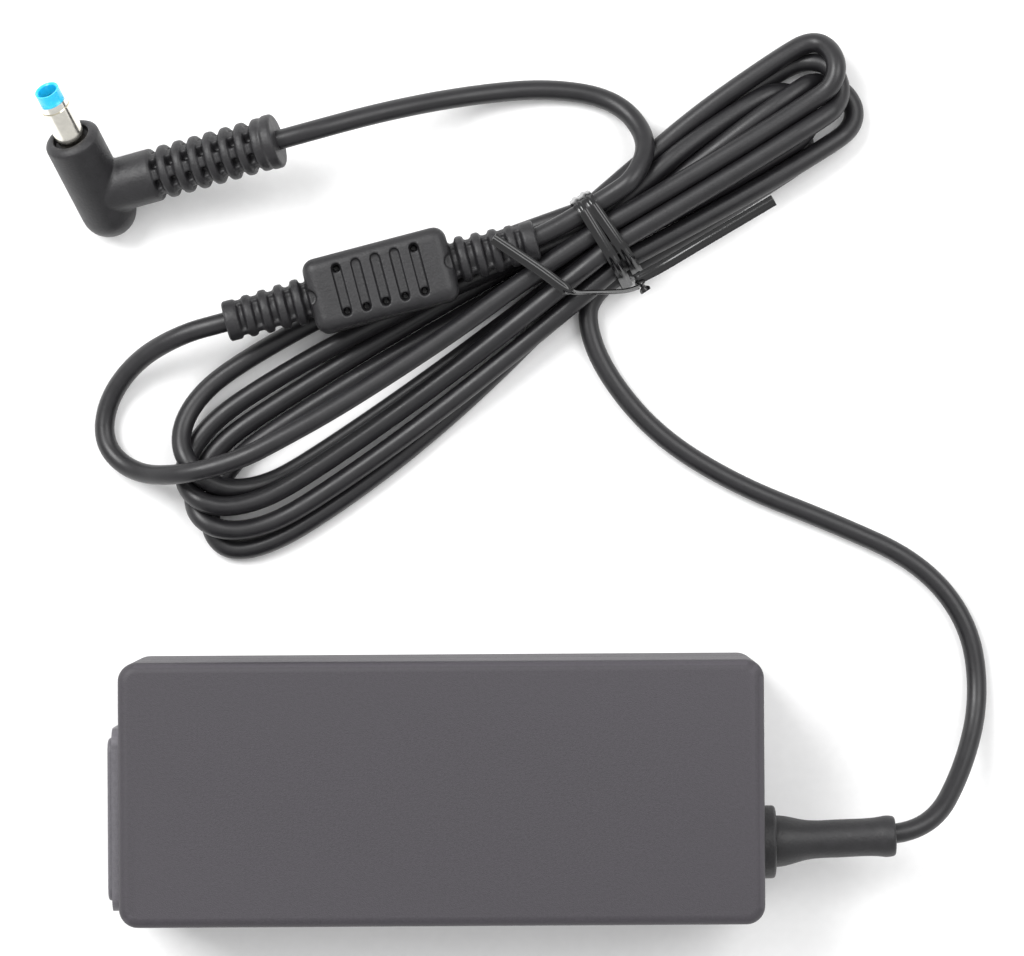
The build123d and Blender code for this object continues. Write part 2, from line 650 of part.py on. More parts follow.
def plug_inner_contact():
    outer = BARREL_RADIUS - BARREL_WALL - INSULATOR_THICK
    return barrel_plane() * sleeve(outer, TIP_BORE, BARREL_START, BARREL_FRONT)


def plug_tip_ring():
    """The coloured ring in front of the barrel, narrower than it, with a flared mouth."""
    ring = sleeve(BARREL_RADIUS - BARREL_WALL, TIP_BORE, BARREL_FRONT, BARREL_FRONT + TIP_LENGTH)
    mouth = ring.edges().group_by(Axis.Z)[-1].sort_by(SortBy.LENGTH)[0]
    ring = chamfer(mouth, 0.2)
    return barrel_plane() * ring


def plug_pin_base():
    """The plug of insulation that holds the middle contact."""
    return barrel_plane() * sleeve(TIP_BORE, PLUG_PIN_RADIUS, BARREL_START, BARREL_START + 4)


def plug_pin():
    """The thin middle contact."""
    pin = sleeve(PLUG_PIN_RADIUS, 0, BARREL_START, BARREL_FRONT + 0.6)
    return barrel_plane() * fillet(pin.edges().sort_by(Axis.Z)[-1], PLUG_PIN_RADIUS * 0.8)


def plug_lead():
    """The lead from inside the strain relief to the hank."""
    leg = leg_direction()
    inside = PLUG_CORNER + leg * (LONG_LENGTH - 8)
    outside = PLUG_CORNER + leg * (LONG_LENGTH + 3.5)
    route = [tuple(inside), tuple(outside), *PLUG_LEAD_BEND]
    return cord_tube(route, "plug lead")


# ---- Assembly ---------------------------------------------------------------------------------------

def assembly():
    """Every separate piece under its own name."""
    brick_lead = cord_tube(BRICK_LEAD, "brick lead")
    plug_side = plug_lead()
    primary = (PRIMARY_FACE, PRIMARY_SWITCH_X, -1)
    secondary = (SECONDARY_FACE, OUTPUT_RECTIFIER_X, 1)
    pieces = {
        "upper_housing": upper_housing(),
        "lower_housing": lower_housing(),
        "rating_label": rating_label(),
        "inlet_socket": inlet_socket(),
        "circuit_board": circuit_board(),
        "insulating_sheet": insulating_sheet(),
        "fuse": fuse(),
        "varistor": varistor(),
        "x_capacitor": x_capacitor(),
        "choke_core": choke_core(),
        "choke_windings": choke_windings(),
        "bridge_rectifier": bridge_rectifier(),
        "bulk_capacitor": bulk_capacitor(),
        "primary_switch": power_switch(*primary),
        "primary_heat_spreader": spreader_for(primary),
        "output_rectifier": power_switch(*secondary),
        "secondary_heat_spreader": spreader_for(secondary),
        "spreader_screws": Compound([screw_for(primary), screw_for(secondary)]),
        "transformer_core": transformer_core(),
        "transformer_bobbin": transformer_bobbin(),
        "transformer_winding": transformer_winding(),
        "optocoupler": optocoupler(),
        "y_capacitor": y_capacitor(),
        "output_capacitors": output_capacitors(),
        "output_choke": output_choke(),
        "control_chip": control_chip(),
        "cord_boot": cord_boot(brick_lead),
        "cord_brick_lead": brick_lead,
        "cord_hank": cord_hank(),
        "cord_outer_loop": cord_tube(OUTER_LOOP, "outer loop"),
        "cord_ferrite_run": ferrite_run(),
        "cord_plug_lead": plug_side,
        "twist_tie": twist_tie(),
        "ferrite_overmould": ferrite_overmould(),
        "ferrite_core": ferrite_core(),
        "plug_overmould": plug_overmould(plug_side),
        "plug_barrel": plug_barrel(),
        "plug_insulator": plug_insulator(),
        "plug_inner_contact": plug_inner_contact(),
        "plug_tip_ring": plug_tip_ring(),
        "plug_pin_base": plug_pin_base(),
        "plug_pin": plug_pin(),
    }
    for name, place in pin_places().items():
        pieces[f"inlet_pin_{name}"] = inlet_pin(place)
    for name, offset in zip(("negative", "signal", "positive"), WIRE_OFFSETS):
        pieces[f"output_wire_{name}"] = output_wire(offset)
    return pieces


def main():
    os.makedirs("parts", exist_ok=True)
    for name, piece in assembly().items():
        export_step(piece, f"parts/{name}.step")


main()
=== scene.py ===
import json
import math

import bmesh
import bpy
import numpy as np
from mathutils import Matrix, Vector


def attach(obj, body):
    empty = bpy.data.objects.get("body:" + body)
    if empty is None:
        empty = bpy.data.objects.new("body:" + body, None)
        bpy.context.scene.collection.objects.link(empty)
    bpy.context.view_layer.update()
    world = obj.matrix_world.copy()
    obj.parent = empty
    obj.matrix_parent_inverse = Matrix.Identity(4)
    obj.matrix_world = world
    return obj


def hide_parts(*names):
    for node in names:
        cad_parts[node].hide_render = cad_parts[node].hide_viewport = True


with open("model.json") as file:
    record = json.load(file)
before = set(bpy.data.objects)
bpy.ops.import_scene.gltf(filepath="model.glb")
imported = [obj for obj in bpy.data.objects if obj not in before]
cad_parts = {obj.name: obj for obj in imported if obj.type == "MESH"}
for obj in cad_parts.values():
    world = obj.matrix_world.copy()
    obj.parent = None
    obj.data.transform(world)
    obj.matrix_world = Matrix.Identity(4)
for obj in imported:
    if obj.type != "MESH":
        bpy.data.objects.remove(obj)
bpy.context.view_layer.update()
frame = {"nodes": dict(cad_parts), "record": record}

# ---- Camera, straight above the table -----------------------------------------------------------

CAMERA_PLACE = (0.01195, 0.04631, 0.650)
CAMERA_ROLL = -0.35
SENSOR, LENS = 36.0, 149.5


def make_camera():
    """A camera high above the table, looking straight down."""
    data = bpy.data.cameras.new("camera")
    data.sensor_width, data.lens = SENSOR, LENS
    data.clip_start, data.clip_end = 0.01, 10.0
    camera = bpy.data.objects.new("camera", data)
    camera.location = CAMERA_PLACE
    camera.rotation_euler = (0, 0, math.radians(CAMERA_ROLL))
    bpy.context.scene.collection.objects.link(camera)
    bpy.context.scene.camera = camera


make_camera()

# ---- The cord -----------------------------------------------------------------------------------

CORD_DIAMETER = 0.0030
CORD_RADIUS = CORD_DIAMETER / 2

# Stretches that aren't wound, given point by point, in the order of the cord from the housing to the plug
BRICK_LEAD = [
    (0.0450, -0.0084, 0.01325),
    (0.0525, -0.0084, 0.01325),
    (0.0640, -0.00795, 0.01325),
    (0.0746, -0.0066, 0.0122),
    (0.0800, 0.0018, 0.0062),
    (0.0831, 0.0122, CORD_RADIUS),
    (0.0816, 0.0238, CORD_RADIUS),
    (0.0740, 0.0332, CORD_RADIUS),
    (0.0604, 0.0394, CORD_RADIUS),
    (0.0464, 0.0449, CORD_RADIUS),
    (0.0340, 0.0526, CORD_RADIUS),
    (0.0259, 0.0626, CORD_RADIUS),
    (0.0232, 0.0707, CORD_RADIUS),
    (0.0249, 0.0747, CORD_RADIUS),
]
OUTER_LOOP = [
    (-0.0290, 0.0492, 0.0120),
    (-0.0376, 0.0470, 0.0105),
    (-0.0454, 0.0472, 0.0035),
    (-0.0504, 0.0516, CORD_RADIUS),
    (-0.0498, 0.0584, CORD_RADIUS),
    (-0.0450, 0.0646, 0.0042),
    (-0.0379, 0.06835, 0.0080),
    (-0.0311, 0.0701, 0.0090),
]
FERRITE_RUN = [
    (-0.0235, 0.07205, 0.0090),
    (-0.0076, 0.07615, 0.0089),
    (0.0083, 0.08025, 0.0088),
    (0.0159, 0.0822, 0.0088),
]
PLUG_LEAD = [
    (0.0274, 0.0890, 0.0086),
    (0.0308, 0.0914, 0.0094),
    (0.0332, 0.0974, 0.0052),
    (0.0284, 0.1039, CORD_RADIUS),
    (0.0182, 0.1058, CORD_RADIUS),
    (0.0060, 0.1046, 0.0034),
    (-0.0065, 0.1018, 0.0094),
    (-0.01948, 0.0980, 0.01357),
    (-0.03039, 0.09524, 0.01118),
]

# The tied hank: the middle of its tie, the direction of its strands, and where each strand passes
# through the tie as (across, height), in three layers that rest on each other
TIE_X, TIE_Y = 0.0263, 0.0828
HANK_ANGLE = math.radians(32.5)
LOW, MIDDLE, HIGH = 0.0020, 0.0047, 0.0077
SLOTS = {
    "entry": (-0.0059, LOW), "left_1": (-0.0028, LOW), "back_1": (0.0003, LOW), "back_2": (0.0034, LOW),
    "left_2": (-0.0046, 0.0049), "left_4": (-0.0012, MIDDLE), "back_3": (0.0019, MIDDLE),
    "back_4": (0.0050, MIDDLE), "left_3": (-0.0018, HIGH), "left_5": (0.0013, HIGH),
    "to_plug": (0.0045, 0.0088),
}
# Each turn: which side, the slot it leaves and the slot it comes back to, how far along its rounded
# end starts and stops, how far across its two sides stand there, lean of the end, starting height
TURNS = [
    (1, "entry", "left_1", 0.0295, 0.0340, -0.0066, 0.0025, 0.0, 0.0015),
    (-1, "left_1", "back_1", 0.0600, 0.0750, -0.0119, 0.0028, -0.0012, 0.0015),
    (1, "back_1", "left_2", 0.0375, 0.0430, 0.0035, -0.0066, -0.0005, 0.0035),
    (-1, "left_2", "back_2", 0.0600, 0.0744, -0.0095, 0.0059, 0.0, 0.0040),
    (1, "back_2", "left_3", 0.0376, 0.0424, 0.0059, -0.0027, 0.0, 0.0065),
    (-1, "left_3", "back_3", 0.0590, 0.0736, -0.0057, 0.0092, 0.0, 0.0060),
    (1, "back_3", "left_4", 0.0318, 0.0365, 0.0053, -0.0036, 0.0, 0.0030),
    (-1, "left_4", "back_4", 0.0580, 0.0723, -0.0042, 0.0140, 0.0, 0.0080),
    (1, "back_4", "left_5", 0.0393, 0.0439, 0.0083, 0.0002, 0.0007, 0.0095),
]
SIDE_POINTS, END_POINTS = 7, 11
# How square the turns' ends are: 2 for an ellipse, more for fuller shoulders
FULLNESS = 2.2
# The top strand on from the tie to the outer loop: along, across, height
TOP_STRAND = [(-0.008, 0.0012, 0.0080), (-0.017, 0.0009, 0.0084), (-0.027, 0.0003, 0.0092),
              (-0.038, 0.0001, 0.0102), (-0.049, 0.0002, 0.0112), (-0.057, 0.0007, 0.0118)]


def hank_place(along, across, height):
    """A point of the table's frame from a place along and across the hank."""
    c, s = math.cos(HANK_ANGLE), math.sin(HANK_ANGLE)
    return (TIE_X + c * along - s * across, TIE_Y + s * along + c * across, height)


def turn_points(side, leaves, returns, end_at, reach, edge_out, edge_back, lean, height):
    """One turn of the hank: out along one side, round the end and back along the other."""

    def side_point(share, slot, edge):
        across, slot_height = SLOTS[slot]
        v = across + (edge - across) * math.sin(share * math.pi / 2)
        return hank_place(side * share * end_at, v, slot_height + (height - slot_height) * share)

    shares = [(k + 0.5) / SIDE_POINTS for k in range(SIDE_POINTS)]
    points = [side_point(share, leaves, edge_out) for share in shares]
    middle, half = (edge_out + edge_back) / 2, (edge_out - edge_back) / 2
    for k in range(END_POINTS):
        angle = math.pi * (k + 0.5) / END_POINTS
        out, swing = math.sin(angle) ** (2 / FULLNESS), abs(math.cos(angle)) ** (2 / FULLNESS)
        u = end_at + (reach - end_at) * out
        v = middle + half * math.copysign(swing, math.cos(angle)) + lean * out**2
        points.append(hank_place(side * u, v, height))
    return points + [side_point(share, returns, edge_back) for share in reversed(shares)]


def wound_points():
    """All the turns of the hank, with the place of each strand in the tie between them."""
    points = [hank_place(0, *SLOTS["entry"])]
    for turn in TURNS:
        points += turn_points(*turn)
        points.append(hank_place(0, *SLOTS[turn[2]]))
    return points + [hank_place(*p) for p in TOP_STRAND]


# Laying the turns down: steps, how far they sink in one, how stiff they are, how evenly they stray
# from the plan, how strongly they keep to it, and the spacing of two strands in diameters
STEPS, SINK, STIFFNESS, EVENNESS, HOLD, SPACING = 400, 0.00005, 0.35, 0.6, 0.05, 1.01
# The share of the steps that sink, the share of the stiffness left after them, how hard strands push,
# how often neighbours are looked for, how far off in diameters, and how many samples apart at least
SINKING_SHARE, LATE_STIFFNESS, PUSH = 0.75, 0.3, 1.5
LOOK_EVERY, LOOK_WITHIN, LEAST_APART = 8, 3, 12
# How far the tie's hold reaches along the strands, and where between control points they are sampled
TIED_REACH = 0.0045
SAMPLES = (0.0, 0.25, 0.5, 0.75)


def blend_rows(count):
    """Rows that give points on the smooth curve from its control points."""
    rows = []
    for i in range(count - 2):
        for f in SAMPLES:
            row = np.zeros(count)
            row[i:i + 3] = ((1 - f) ** 2 / 2, 0.5 + f - f * f, f * f / 2)
            rows.append(row)
    return np.array(rows)


def in_tie(plan):
    """Which points the tie holds."""
    c, s = math.cos(HANK_ANGLE), math.sin(HANK_ANGLE)
    along = (plan[:, 0] - TIE_X) * c + (plan[:, 1] - TIE_Y) * s
    return np.abs(along) < TIED_REACH


def settle(points, first_free, last_free):
    """Lets the turns sink onto the table and onto each other, pushing apart strands that come too close."""
    plan = np.array(points)
    now = plan.copy()
    rows = blend_rows(len(now))
    share = rows.sum(axis=0)[:, None] + 1e-9
    order = np.arange(len(now))
    held = (order < first_free) | (order >= last_free) | in_tie(plan)
    index = np.arange(len(rows))
    for step in range(STEPS):
        sinking = step < STEPS * SINKING_SHARE
        now[:, 2] -= SINK if sinking else 0
        middle = (now[:-2] + now[2:]) / 2
        now[1:-1, 2] += STIFFNESS * (1.0 if sinking else LATE_STIFFNESS) * (middle[:, 2] - now[1:-1, 2])
        strayed = now[:, :2] - plan[:, :2]
        strayed[1:-1] += EVENNESS * ((strayed[:-2] + strayed[2:]) / 2 - strayed[1:-1])
        now[:, :2] = plan[:, :2] + (1 - HOLD) * strayed
        now[held] = plan[held]
        where = rows @ now
        if step % LOOK_EVERY == 0:
            near = np.linalg.norm(where[:, None] - where[None], axis=2) < LOOK_WITHIN * CORD_DIAMETER
            apart = np.abs(index[:, None] - index[None]) > LEAST_APART
            first, second = np.nonzero(np.triu(near & apart))
        gap = where[first] - where[second]
        distance = np.linalg.norm(gap, axis=1)
        lack = np.clip(CORD_DIAMETER * SPACING - distance, 0, None)
        push = gap / distance[:, None] * lack[:, None] * 0.5
        move = np.zeros_like(where)
        np.add.at(move, first, push)
        np.add.at(move, second, -push)
        touched = np.zeros(len(where))
        np.add.at(touched, first, lack > 0)
        np.add.at(touched, second, lack > 0)
        move /= np.clip(touched, 1, None)[:, None] ** 0.5
        now += PUSH * (rows.T @ move) / share
        now[:, 2] = np.maximum(now[:, 2], CORD_RADIUS)
        now[held] = plan[held]
    return [tuple(p) for p in now]


def cord_points():
    """The cord's points from the housing to the plug, with the hank's turns laid down."""
    wound = wound_points()
    points = BRICK_LEAD + wound + OUTER_LOOP + FERRITE_RUN + PLUG_LEAD
    first_free = len(BRICK_LEAD) + 1
    last_free = len(BRICK_LEAD) + len(wound) - len(TOP_STRAND)
    return settle(points, first_free, last_free)


def curve_through(name, points, radius, resolution=7):
    """A round cord on one smooth NURBS spline."""
    data = bpy.data.curves.new(name, "CURVE")
    data.dimensions = "3D"
    data.bevel_depth, data.bevel_resolution = radius, resolution
    data.use_fill_caps = True
    data.resolution_u = 10
    spline = data.splines.new("NURBS")
    spline.points.add(len(points) - 1)
    for point, place in zip(spline.points, points):
        point.co = (*place, 1.0)
    spline.order_u = 3
    spline.use_endpoint_u = True
    piece = bpy.data.objects.new(name, data)
    bpy.context.scene.collection.objects.link(piece)
    return piece


cord = curve_through("cord", cord_points(), CORD_RADIUS)

# ---- Materials ------------------------------------------------------------------------------------


# How much finer the specks are than the grain, the part of the noise that the two tones span, where
# the painted highlight on sharp edges starts and finishes and how far it goes, how much paler it
# makes them, the spread of the roughness and its least value, and the strength of the bump
SPECK_FINER = 2.2
TONE_SPAN = 0.40, 0.60
EDGE_HIGHLIGHT_RANGE, EDGE_HIGHLIGHT_SHARE = (0.52, 0.62), 0.35
EDGE_HIGHLIGHT_GAIN, EDGE_HIGHLIGHT_LIFT = 1.9, 0.01
GLOSS_SPREAD, LEAST_ROUGH, BUMP_STRENGTH = 0.12, 0.05, 0.7


def moulded(
    name, colour, rough, vary=0.18, grain=2200.0, depth=0.00004, mottle=260.0, metallic=0.0, coat=0.0
):
    """A solid material with slightly mottled colour, uneven gloss, fine grain and a painted highlight that
    makes sharp edges paler.
    """
    made = bpy.data.materials.new(name)
    made.use_nodes = True
    nodes, links = made.node_tree.nodes, made.node_tree.links
    shader = nodes["Principled BSDF"]
    shader.inputs["Coat Weight"].default_value = coat
    shader.inputs["Metallic"].default_value = metallic
    place = nodes.new("ShaderNodeTexCoord")

    def noise(scale, detail):
        texture = nodes.new("ShaderNodeTexNoise")
        texture.inputs["Scale"].default_value = scale
        texture.inputs["Detail"].default_value = detail
        links.new(place.outputs["Object"], texture.inputs["Vector"])
        return texture.outputs["Fac"]

    broad, fine, speck = noise(mottle, 5), noise(grain, 3), noise(grain * SPECK_FINER, 1)
    mixed = nodes.new("ShaderNodeMath")
    mixed.operation = "ADD"
    links.new(broad, mixed.inputs[0])
    links.new(speck, mixed.inputs[1])
    ramp = nodes.new("ShaderNodeValToRGB")
    low, high = ramp.color_ramp.elements
    low.position, high.position = TONE_SPAN
    low.color = (*[c * (1 - vary) for c in colour], 1)
    high.color = (*[min(1.0, c * (1 + vary)) for c in colour], 1)
    half = nodes.new("ShaderNodeMath")
    half.operation = "MULTIPLY"
    half.inputs[1].default_value = 0.5
    links.new(mixed.outputs[0], half.inputs[0])
    links.new(half.outputs[0], ramp.inputs["Fac"])
    geometry = nodes.new("ShaderNodeNewGeometry")
    # Painted highlight: edges that pointiness finds sharp are mixed towards a paler copy of the colour
    edge_highlight = nodes.new("ShaderNodeMapRange")
    edge_highlight.inputs["From Min"].default_value, edge_highlight.inputs["From Max"].default_value = EDGE_HIGHLIGHT_RANGE
    edge_highlight.inputs["To Max"].default_value = EDGE_HIGHLIGHT_SHARE
    links.new(geometry.outputs["Pointiness"], edge_highlight.inputs["Value"])
    pale = nodes.new("ShaderNodeMix")
    pale.data_type = "RGBA"
    pale.inputs["B"].default_value = (*[min(1.0, c * EDGE_HIGHLIGHT_GAIN + EDGE_HIGHLIGHT_LIFT) for c in colour], 1)
    links.new(edge_highlight.outputs["Result"], pale.inputs["Factor"])
    links.new(ramp.outputs["Color"], pale.inputs["A"])
    links.new(pale.outputs["Result"], shader.inputs["Base Color"])
    gloss = nodes.new("ShaderNodeMapRange")
    gloss.inputs["To Min"].default_value = max(LEAST_ROUGH, rough - GLOSS_SPREAD)
    gloss.inputs["To Max"].default_value = min(1.0, rough + GLOSS_SPREAD)
    links.new(broad, gloss.inputs["Value"])
    links.new(gloss.outputs["Result"], shader.inputs["Roughness"])
    bump = nodes.new("ShaderNodeBump")
    bump.inputs["Strength"].default_value = BUMP_STRENGTH
    bump.inputs["Distance"].default_value = depth
    links.new(fine, bump.inputs["Height"])
    links.new(bump.outputs["Normal"], shader.inputs["Normal"])
    return made


# Roughness, grain, depth of grain and mottle where a slot differs from its class
CLASSES = {
    "matte_plastic": dict(rough=0.55, grain=2400, depth=0.00004),
    "gloss_plastic": dict(rough=0.26, grain=900, depth=0.00001, vary=0.08, coat=0.3),
    "rubber": dict(rough=0.50, grain=2600, depth=0.00004, vary=0.14),
    "brass": dict(rough=0.25, grain=700, depth=0.00001, vary=0.08, metallic=1.0),
    "chrome": dict(rough=0.16, grain=500, depth=0.000005, vary=0.06, metallic=1.0),
    "aluminium": dict(rough=0.35, grain=900, depth=0.00001, vary=0.08, metallic=1.0),
    "brushed_steel": dict(rough=0.32, grain=900, depth=0.00001, vary=0.08, metallic=1.0),
    "painted_metal": dict(rough=0.38, grain=1200, depth=0.00002),
    "ceramic": dict(rough=0.60, grain=1600, depth=0.00003),
}
OWN_FINISH = {
    "case_plastic": dict(
        colour=(0.038, 0.034, 0.041), rough=0.58, vary=0.16, grain=5200, depth=0.00006, mottle=2600
    ),
    "cord_pvc": dict(
        colour=(0.010, 0.0096, 0.011), rough=0.40, vary=0.12, grain=1800, depth=0.00002, mottle=500
    ),
    "overmould_pvc": dict(
        colour=(0.013, 0.0125, 0.014), rough=0.48, vary=0.2, grain=2600, depth=0.00007, mottle=700
    ),
    "tie_pvc": dict(colour=(0.004, 0.004, 0.0045), rough=0.2, coat=0.3, grain=700, depth=0.00001),
    "inlet_plastic": dict(
        colour=(0.105, 0.10, 0.112), rough=0.5, vary=0.12, grain=3200, depth=0.00005, mottle=1500
    ),
}
SLOT_OF = {
    "upper_housing": "case_plastic", "lower_housing": "case_plastic", "rating_label": "label_film",
    "inlet_socket": "inlet_plastic", "inlet_pin_live": "pin_brass", "inlet_pin_neutral": "pin_brass",
    "inlet_pin_earth": "pin_brass", "circuit_board": "board_laminate", "insulating_sheet": "insulating_film",
    "fuse": "fuse_plastic", "varistor": "varistor_blue", "x_capacitor": "capacitor_yellow",
    "choke_core": "core_green", "choke_windings": "copper_wire", "bridge_rectifier": "chip_epoxy",
    "bulk_capacitor": "capacitor_sleeve", "primary_switch": "chip_epoxy", "output_rectifier": "chip_epoxy",
    "primary_heat_spreader": "spreader_aluminium", "secondary_heat_spreader": "spreader_aluminium",
    "spreader_screws": "screw_steel", "transformer_core": "ferrite_grey", "ferrite_core": "ferrite_grey",
    "transformer_bobbin": "bobbin_black", "transformer_winding": "winding_tape", "optocoupler": "chip_epoxy",
    "y_capacitor": "varistor_blue", "output_capacitors": "capacitor_sleeve", "output_choke": "copper_wire",
    "control_chip": "chip_epoxy", "output_wire_negative": "wire_black", "output_wire_signal": "wire_blue",
    "output_wire_positive": "wire_white", "cord_boot": "overmould_pvc", "plug_barrel": "nickel_plate",
    "plug_insulator": "insulator_black", "plug_inner_contact": "nickel_plate", "plug_tip_ring": "tip_blue",
    "plug_pin_base": "insulator_black", "plug_pin": "gold_plate",
}


def make_finishes():
    """One material for each of the record's slots."""
    made = {}
    for entry in frame["record"]["materials"]:
        settings = {"colour": tuple(entry["base_color"]), **CLASSES[entry["class"]]}
        settings.update(OWN_FINISH.get(entry["slot"], {}))
        made[entry["slot"]] = moulded(entry["slot"], **settings)
    return made


FINISH = make_finishes()


def dress(piece, slot_name):
    """Gives a new piece its finish, and lets it ride with the object."""
    piece.data.materials.clear()
    piece.data.materials.append(FINISH[slot_name])
    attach(piece, "root")


for node, piece in frame["nodes"].items():
    piece.data.materials.clear()
    piece.data.materials.append(FINISH[SLOT_OF.get(node, "overmould_pvc")])

# ---- Moulded pieces: closed forms fused together, cut, and softened ---------------------------------

FUSE_VOXEL = 0.00018
# How far a cut runs on past the surface that it opens
PAST = 0.001


def block_form(size, place, rounding=0.0, turn=0.0, segments=4):
    """A rounded block in the piece's own frame, turned about its long axis."""
    form = bmesh.new()
    bmesh.ops.create_cube(form, size=1.0)
    bmesh.ops.scale(form, vec=size, verts=form.verts)
    if rounding:
        bmesh.ops.bevel(
            form, geom=form.edges[:], offset=rounding, segments=segments, affect="EDGES", profile=0.5
        )
    shift = Matrix.Rotation(math.radians(turn), 4, "X") @ Matrix.Translation(place)
    bmesh.ops.transform(form, matrix=shift, verts=form.verts)
    return form


def lathe_form(profile, segments=64):
    """A closed form turned about the X axis from (x, radius) pairs."""
    form = bmesh.new()
    rings = []
    for x, radius in profile:
        angles = [2 * math.pi * k / segments for k in range(segments)]
        rings.append([form.verts.new((x, radius * math.cos(a), radius * math.sin(a))) for a in angles])
    for ring, after in zip(rings, rings[1:]):
        for k in range(segments):
            form.faces.new((ring[k], ring[(k + 1) % segments], after[(k + 1) % segments], after[k]))
    form.faces.new(reversed(rings[0]))
    form.faces.new(rings[-1])
    bmesh.ops.recalc_face_normals(form, faces=form.faces)
    return form


def ring_form(start, length, radius, edge=0.0003):
    """A rounded ring's outside, solid to the axis."""
    return lathe_form([(start, radius - edge), (start + edge, radius), (start + length - edge, radius),
                       (start + length, radius - edge)])


def slot_form(x, y_low, y_high, width, z_low, z_high, segments=10):
    """An upright prism with a stadium outline across the piece, for a groove with rounded ends."""
    form = bmesh.new()
    half = width / 2
    outline = []
    for middle, start in ((y_high - half, 0.0), (y_low + half, math.pi)):
        for k in range(segments + 1):
            angle = start + math.pi * k / segments
            outline.append((x + half * math.cos(angle), middle + half * math.sin(angle)))
    low = [form.verts.new((a, b, z_low)) for a, b in outline]
    high = [form.verts.new((a, b, z_high)) for a, b in outline]
    form.faces.new(reversed(low))
    form.faces.new(high)
    for k in range(len(outline)):
        after = (k + 1) % len(outline)
        form.faces.new((low[k], low[after], high[after], high[k]))
    bmesh.ops.recalc_face_normals(form, faces=form.faces)
    return form


def as_object(name, forms):
    """One mesh object from several forms, which are used up."""
    mesh = bpy.data.meshes.new(name)
    whole = bmesh.new()
    for form in forms:
        part = bpy.data.meshes.new("part")
        form.to_mesh(part)
        form.free()
        whole.from_mesh(part)
        bpy.data.meshes.remove(part)
    whole.to_mesh(mesh)
    whole.free()
    piece = bpy.data.objects.new(name, mesh)
    bpy.context.scene.collection.objects.link(piece)
    return piece


def apply_modifiers(piece):
    """Gives a piece the mesh that its modifiers make, and removes them."""
    bpy.context.view_layer.update()
    mesh = bpy.data.meshes.new_from_object(piece.evaluated_get(bpy.context.evaluated_depsgraph_get()))
    piece.modifiers.clear()
    piece.data = mesh


def fuse(name, forms, cuts, place, softening=3):
    """Fuses forms into one skin, cuts the grooves and holes, and softens it like moulded rubber."""
    piece = as_object(name, forms)
    remesh = piece.modifiers.new("fuse", "REMESH")
    remesh.mode, remesh.voxel_size = "VOXEL", FUSE_VOXEL
    apply_modifiers(piece)
    for cut in cuts:
        cutter = as_object("cutter", [cut])
        boolean = piece.modifiers.new("cut", "BOOLEAN")
        boolean.operation, boolean.object, boolean.solver = "DIFFERENCE", cutter, "EXACT"
        apply_modifiers(piece)
        bpy.data.objects.remove(cutter)
    again = piece.modifiers.new("again", "REMESH")
    again.mode, again.voxel_size = "VOXEL", FUSE_VOXEL
    smooth = piece.modifiers.new("soft", "SMOOTH")
    smooth.factor, smooth.iterations = 0.5, softening
    apply_modifiers(piece)
    piece.data.transform(place)
    piece.data.polygons.foreach_set("use_smooth", [True] * len(piece.data.polygons))
    return piece


# ---- Ferrite block ----------------------------------------------------------------------------------

FERRITE_LEFT, FERRITE_RIGHT = Vector((-0.0311, 0.0701, 0.0090)), Vector((0.0159, 0.0822, 0.0088))
BLOCK_LENGTH, BLOCK_WIDTH, BLOCK_HEIGHT = 0.0222, 0.0114, 0.0094
GROOVE_PITCH, GROOVE_WIDTH, GROOVE_LENGTH, GROOVE_DEPTH = 0.0030, 0.0015, 0.0081, 0.0007
HOLE_RADIUS, HOLE_DEPTH = 0.00058, 0.0022
BLOCK_ROUNDING = 0.0019
NOTCH_RADIUS, NOTCH_DEPTH = 0.0012, 0.0016
# Each boot: its core, its end ring, and four rings that grow towards the block, joined by ribs
BOOT_CORE, END_RING_WIDTH, END_RING_RADIUS = 0.0023, 0.0022, 0.0031
BOOT_RINGS, BOOT_RING_START, BOOT_RING_PITCH = 4, 0.0038, 0.00255
BOOT_RING_WIDTH, BOOT_RING_GROWTH = 0.0014, 0.00012
BOOT_RIB_WIDTH, BOOT_RIB_HEIGHT, BOOT_RIB_OUT, BOOT_RIB_TURNS = 0.0013, 0.0009, 0.0024, (60, -60, 180)


def frame_along(left, right):
    """A frame at the middle of two points, X along them and Z up."""
    along = (right - left).normalized()
    across = Vector((0, 0, 1)).cross(along).normalized()
    up = along.cross(across)
    place = Matrix((along, across, up)).transposed().to_4x4()
    place.translation = (left + right) / 2
    return place


def hole_form(x, y, z_low, z_high, radius):
    """An upright cylinder, for a round hole."""
    form = bmesh.new()
    bmesh.ops.create_cone(
        form, cap_ends=True, segments=20, radius1=radius, radius2=radius, depth=z_high - z_low
    )
    bmesh.ops.translate(form, vec=(x, y, (z_low + z_high) / 2), verts=form.verts)
    return form


